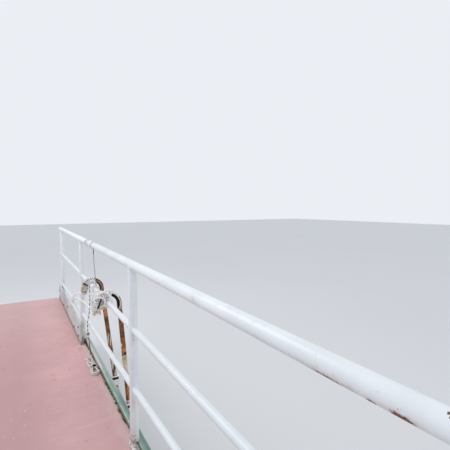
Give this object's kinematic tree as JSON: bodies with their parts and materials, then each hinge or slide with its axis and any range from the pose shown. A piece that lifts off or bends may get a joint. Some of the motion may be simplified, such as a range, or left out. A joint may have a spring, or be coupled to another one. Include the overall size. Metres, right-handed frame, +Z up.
{
  "type": "houseboat side-deck section with guard rail and boarding ladder",
  "caption": "Straight length of a houseboat's side deck with a white tubular guard rail and a rusty boarding ladder hooked over its middle bar and lashed with rope.",
  "frame": {"origin": "middle of the section's length on the outer face of the inboard web, 110 mm below the deck's top", "axes": "+X outboard, +Y forward along the boat, +Z up"},
  "size_m": [1.146, 5.6, 1.8114],
  "materials": {
    "deck_paint": "matt red deck paint, worn and dusty",
    "hull_paint": "grey paint with rust runs",
    "edge_paint": "sea-green paint, chipped along the foot",
    "rail_paint": "white gloss paint with rust spots",
    "collar": "chalky off-white paint",
    "board_paint": "pale grey paint on board, weathered",
    "rusty_steel": "heavy rust with remains of cream paint",
    "pad_rubber": "white rubber with a black band",
    "rope": "weathered laid rope",
    "dark_cord": "grey twisted cord"
  },
  "bodies": {
    "section": {"deck_plate": "deck_paint", "inboard_web": "hull_paint", "hull_side_plate": "hull_paint", "rubbing_strake": "hull_paint", "deck_frame_1": "hull_paint", "deck_frame_2": "hull_paint", "deck_frame_3": "hull_paint", "deck_frame_4": "hull_paint", "deck_frame_5": "hull_paint", "deck_frame_6": "hull_paint", "deck_frame_7": "hull_paint", "edge_coaming": "edge_paint", "top_rail_aft": "rail_paint", "top_rail_forward": "rail_paint", "mid_rail": "rail_paint", "lower_rail": "rail_paint", "rail_post_1": "rail_paint", "rail_post_2": "rail_paint", "rail_post_3": "rail_paint", "rail_post_4": "rail_paint", "post_foot_1": "rail_paint", "post_foot_2": "rail_paint", "post_foot_3": "rail_paint", "post_foot_4": "rail_paint", "top_rail_sleeve": "collar", "toe_board": "board_paint", "rail_lashing_main": "rope", "guy_hitch": "rope", "guy_rope": "rope", "slack_rope": "rope", "cord_bundle": "rope", "hanging_cord": "dark_cord", "cord_hitch": "dark_cord", "lanyard": "dark_cord", "lanyard_hitch": "dark_cord"},
    "ladder": {"ladder_stringer_near": "rusty_steel", "ladder_stringer_far": "rusty_steel", "ladder_rung_1": "rusty_steel", "ladder_rung_2": "rusty_steel", "ladder_rung_3": "rusty_steel", "standoff_pad_near": "pad_rubber", "standoff_pad_far": "pad_rubber", "hook_lashing_near": "rope", "hook_lashing_far": "rope", "tie_strap": "dark_cord"}
  },
  "joints": [
    {"name": "ladder_swing", "type": "hinge", "parent": "section", "child": "ladder", "pos_m": [0.9, 0, 0.768], "axis": [0, -1, 0], "range_deg": [0, 25]}
  ]
}
